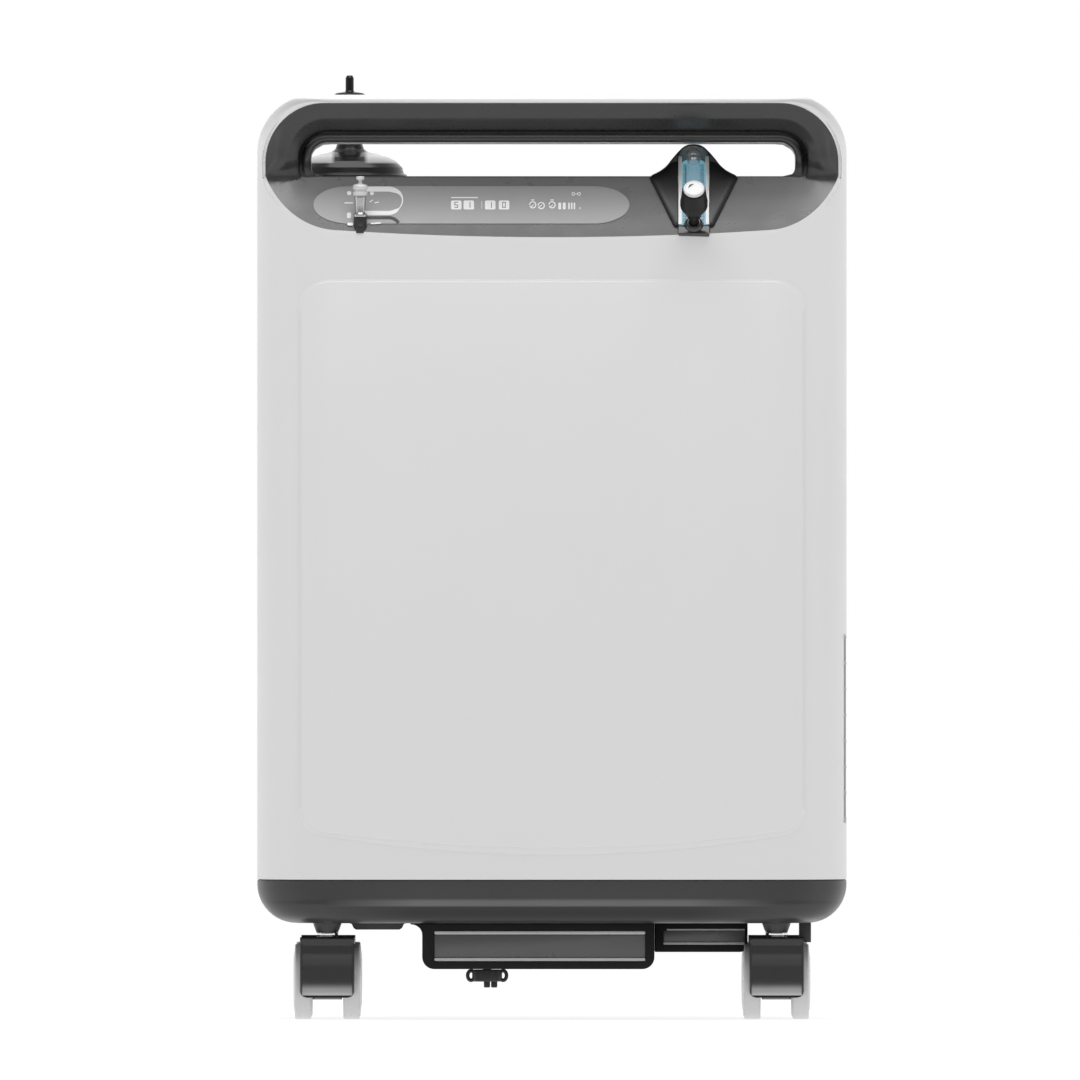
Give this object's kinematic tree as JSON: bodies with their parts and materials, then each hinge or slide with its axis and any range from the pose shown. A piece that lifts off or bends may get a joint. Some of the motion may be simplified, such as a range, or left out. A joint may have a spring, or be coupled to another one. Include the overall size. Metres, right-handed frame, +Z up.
{
  "type": "oxygen concentrator",
  "caption": "Rolling stationary oxygen concentrator: tall rounded casing with a carrying handle through the top, control slope with flowmeter and outlet, rear humidifier, twin-wheel casters.",
  "frame": {"origin": "On the floor under the middle of the whole object, with the knob counted in its depth.", "axes": "+Z up, -Y the control side, +X to the right as seen from the control side. Metres."},
  "size_m": [0.391, 0.3086, 0.6282],
  "materials": {
    "aluminium": "cast",
    "bezel_grey": "soft satin",
    "black_plastic": "moulded",
    "board_green": "solder mask",
    "bottle_clear": "clear moulded",
    "cap_white": "polished",
    "chrome": "polished",
    "clear_block": "clear acrylic",
    "foam": "open cell foam",
    "gloss_black": "polished",
    "grille_grey": "satin",
    "mount_rubber": "moulded",
    "overlay_grey": "printed film",
    "panel_white": "smooth satin",
    "scale_blue": "printed",
    "shell_white": "fine satin",
    "steel": "plated",
    "tray_grey": "fine grained",
    "wheel_grey": "smooth tread"
  },
  "bodies": {
    "casing": {"front_shell": "shell_white", "front_panel": "panel_white", "rear_shell": "shell_white", "control_bezel": "bezel_grey", "handle_cover": "bezel_grey", "display_overlay": "overlay_grey", "control_board": "board_green", "base_tray": "tray_grey", "exhaust_box": "tray_grey", "exhaust_panel": "tray_grey", "duct_box": "tray_grey", "side_grille": "grille_grey", "baffle_plate": "tray_grey", "case_screws": "steel", "caster_sockets": "tray_grey", "caster_collars": "chrome", "flowmeter_cradle": "bezel_grey", "flowmeter_block": "clear_block", "flowmeter_scale": "scale_blue", "flowmeter_valve": "black_plastic", "oxygen_outlet": "chrome", "outlet_tip": "cap_white", "filter_foam": "foam", "power_inlet": "black_plastic", "switch_frame": "black_plastic", "compressor_motor": "aluminium", "compressor_heads": "aluminium", "compressor_mounts": "mount_rubber", "sieve_beds": "aluminium", "product_tank": "aluminium", "valve_manifold": "aluminium", "fan_frame": "black_plastic"},
    "knob": {"flow_knob": "black_plastic", "flow_knob_cap": "cap_white"},
    "float": {"flowmeter_float": "cap_white"},
    "bottle": {"humidifier_bottle": "bottle_clear"},
    "lid": {"humidifier_lid": "gloss_black", "humidifier_tube": "cap_white"},
    "door": {"filter_door": "grille_grey"},
    "rocker": {"power_switch": "black_plastic"},
    "breaker": {"breaker_button": "cap_white"},
    "clamp_screw": {"wing_screw": "tray_grey"},
    "shaft": {"compressor_shaft": "steel"},
    "fan": {"fan_rotor": "black_plastic"},
    "caster_front_left": {"caster_front_left_body": "gloss_black", "caster_front_left_axle": "steel"},
    "wheel_front_left_in": {"caster_front_left_wheel_in": "wheel_grey"},
    "wheel_front_left_out": {"caster_front_left_wheel_out": "wheel_grey"},
    "caster_front_right": {"caster_front_right_body": "gloss_black", "caster_front_right_axle": "steel"},
    "wheel_front_right_in": {"caster_front_right_wheel_in": "wheel_grey"},
    "wheel_front_right_out": {"caster_front_right_wheel_out": "wheel_grey"},
    "caster_rear_left": {"caster_rear_left_body": "gloss_black", "caster_rear_left_axle": "steel"},
    "wheel_rear_left_in": {"caster_rear_left_wheel_in": "wheel_grey"},
    "wheel_rear_left_out": {"caster_rear_left_wheel_out": "wheel_grey"},
    "caster_rear_right": {"caster_rear_right_body": "gloss_black", "caster_rear_right_axle": "steel"},
    "wheel_rear_right_in": {"caster_rear_right_wheel_in": "wheel_grey"},
    "wheel_rear_right_out": {"caster_rear_right_wheel_out": "wheel_grey"}
  },
  "joints": [
    {"name": "swivel_front_left", "type": "hinge", "parent": "casing", "child": "caster_front_left", "pos_m": [-0.149, -0.0907, 0.06], "axis": [0, 0, 1], "continuous": true},
    {"name": "roll_front_left_in", "type": "hinge", "parent": "caster_front_left", "child": "wheel_front_left_in", "pos_m": [-0.149, -0.0707, 0.025], "axis": [1, 0, 0], "continuous": true},
    {"name": "roll_front_left_out", "type": "hinge", "parent": "caster_front_left", "child": "wheel_front_left_out", "pos_m": [-0.149, -0.0707, 0.025], "axis": [1, 0, 0], "continuous": true},
    {"name": "swivel_front_right", "type": "hinge", "parent": "casing", "child": "caster_front_right", "pos_m": [0.149, -0.0907, 0.06], "axis": [0, 0, 1], "continuous": true},
    {"name": "roll_front_right_in", "type": "hinge", "parent": "caster_front_right", "child": "wheel_front_right_in", "pos_m": [0.149, -0.0707, 0.025], "axis": [1, 0, 0], "continuous": true},
    {"name": "roll_front_right_out", "type": "hinge", "parent": "caster_front_right", "child": "wheel_front_right_out", "pos_m": [0.149, -0.0707, 0.025], "axis": [1, 0, 0], "continuous": true},
    {"name": "swivel_rear_left", "type": "hinge", "parent": "casing", "child": "caster_rear_left", "pos_m": [-0.149, 0.0943, 0.06], "axis": [0, 0, 1], "continuous": true},
    {"name": "roll_rear_left_in", "type": "hinge", "parent": "caster_rear_left", "child": "wheel_rear_left_in", "pos_m": [-0.149, 0.1143, 0.025], "axis": [1, 0, 0], "continuous": true},
    {"name": "roll_rear_left_out", "type": "hinge", "parent": "caster_rear_left", "child": "wheel_rear_left_out", "pos_m": [-0.149, 0.1143, 0.025], "axis": [1, 0, 0], "continuous": true},
    {"name": "swivel_rear_right", "type": "hinge", "parent": "casing", "child": "caster_rear_right", "pos_m": [0.149, 0.0943, 0.06], "axis": [0, 0, 1], "continuous": true},
    {"name": "roll_rear_right_in", "type": "hinge", "parent": "caster_rear_right", "child": "wheel_rear_right_in", "pos_m": [0.149, 0.1143, 0.025], "axis": [1, 0, 0], "continuous": true},
    {"name": "roll_rear_right_out", "type": "hinge", "parent": "caster_rear_right", "child": "wheel_rear_right_out", "pos_m": [0.149, 0.1143, 0.025], "axis": [1, 0, 0], "continuous": true},
    {"name": "flow_turn", "type": "hinge", "parent": "casing", "child": "knob", "pos_m": [0.094, -0.12138, 0.52686], "axis": [0, -0.766, 0.6428], "range_deg": [0, 1080]},
    {"name": "float_rise", "type": "slide", "parent": "casing", "child": "float", "axis": [0, 0.6428, 0.766], "range_m": [-0.023, 0.018]},
    {"name": "bottle_lift", "type": "slide", "parent": "casing", "child": "bottle", "axis": [0, 0, 1], "range_m": [0, 0.16]},
    {"name": "lid_unscrew", "type": "hinge", "parent": "bottle", "child": "lid", "pos_m": [-0.1349, 0.1083, 0.56], "axis": [0, 0, 1], "range_deg": [0, 450]},
    {"name": "door_swing", "type": "hinge", "parent": "casing", "child": "door", "pos_m": [0.03, 0.1511, 0.3644], "axis": [1, 0, 0], "range_deg": [-95, 0]},
    {"name": "rocker_tilt", "type": "hinge", "parent": "casing", "child": "rocker", "pos_m": [0.044, 0.1453, 0.14], "axis": [1, 0, 0], "range_deg": [-10, 10]},
    {"name": "breaker_press", "type": "slide", "parent": "casing", "child": "breaker", "axis": [0, -1, 0], "range_m": [0, 0.003], "stiffness_N_per_m": 300},
    {"name": "clamp_turn", "type": "hinge", "parent": "casing", "child": "clamp_screw", "pos_m": [-0.043, -0.0657, 0.028], "axis": [0, 0, -1], "range_deg": [0, 720]},
    {"name": "compressor_turn", "type": "hinge", "parent": "casing", "child": "shaft", "pos_m": [-0.03, -0.0007, 0.14], "axis": [1, 0, 0], "continuous": true},
    {"name": "fan_turn", "type": "hinge", "parent": "casing", "child": "fan", "pos_m": [-0.03, -0.0007, 0.226], "axis": [0, 0, 1], "continuous": true}
  ]
}
